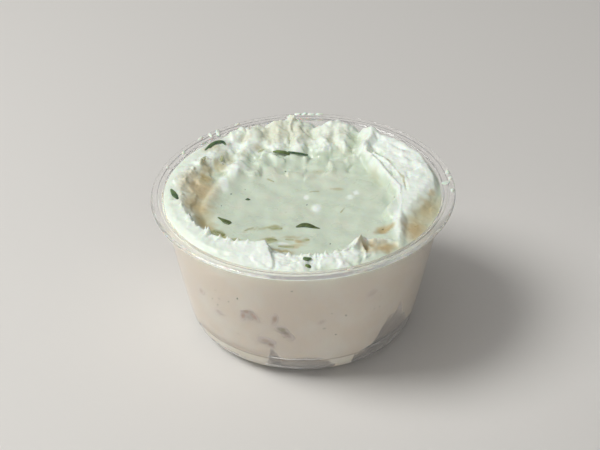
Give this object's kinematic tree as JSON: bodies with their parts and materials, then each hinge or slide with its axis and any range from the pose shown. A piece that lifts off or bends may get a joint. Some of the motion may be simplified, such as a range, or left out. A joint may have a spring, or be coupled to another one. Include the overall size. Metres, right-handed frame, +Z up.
{
  "type": "tzatziki dip in a clear cup",
  "caption": "Clear flared portion cup filled to the rim with thick white cucumber and yogurt dip, with a spooned hollow, a torn raised edge and green herb flakes.",
  "frame": {"origin": "middle of the flat ring that the cup stands on, at table height", "axes": "+Z up out of the cup, +X to the right towards the side where the rim is a little higher, +Y to the back towards the tallest peaks of dip"},
  "size_m": [0.074, 0.074, 0.0392],
  "materials": {
    "clear_plastic": "clear, thin and glossy, with a fine haze of handling marks",
    "tzatziki": "moist thick yogurt, creamy white with a faint green cast, satin where smooth and matte where torn"
  },
  "bodies": {
    "root": {"cup": "clear_plastic", "dip": "tzatziki"}
  },
  "joints": []
}
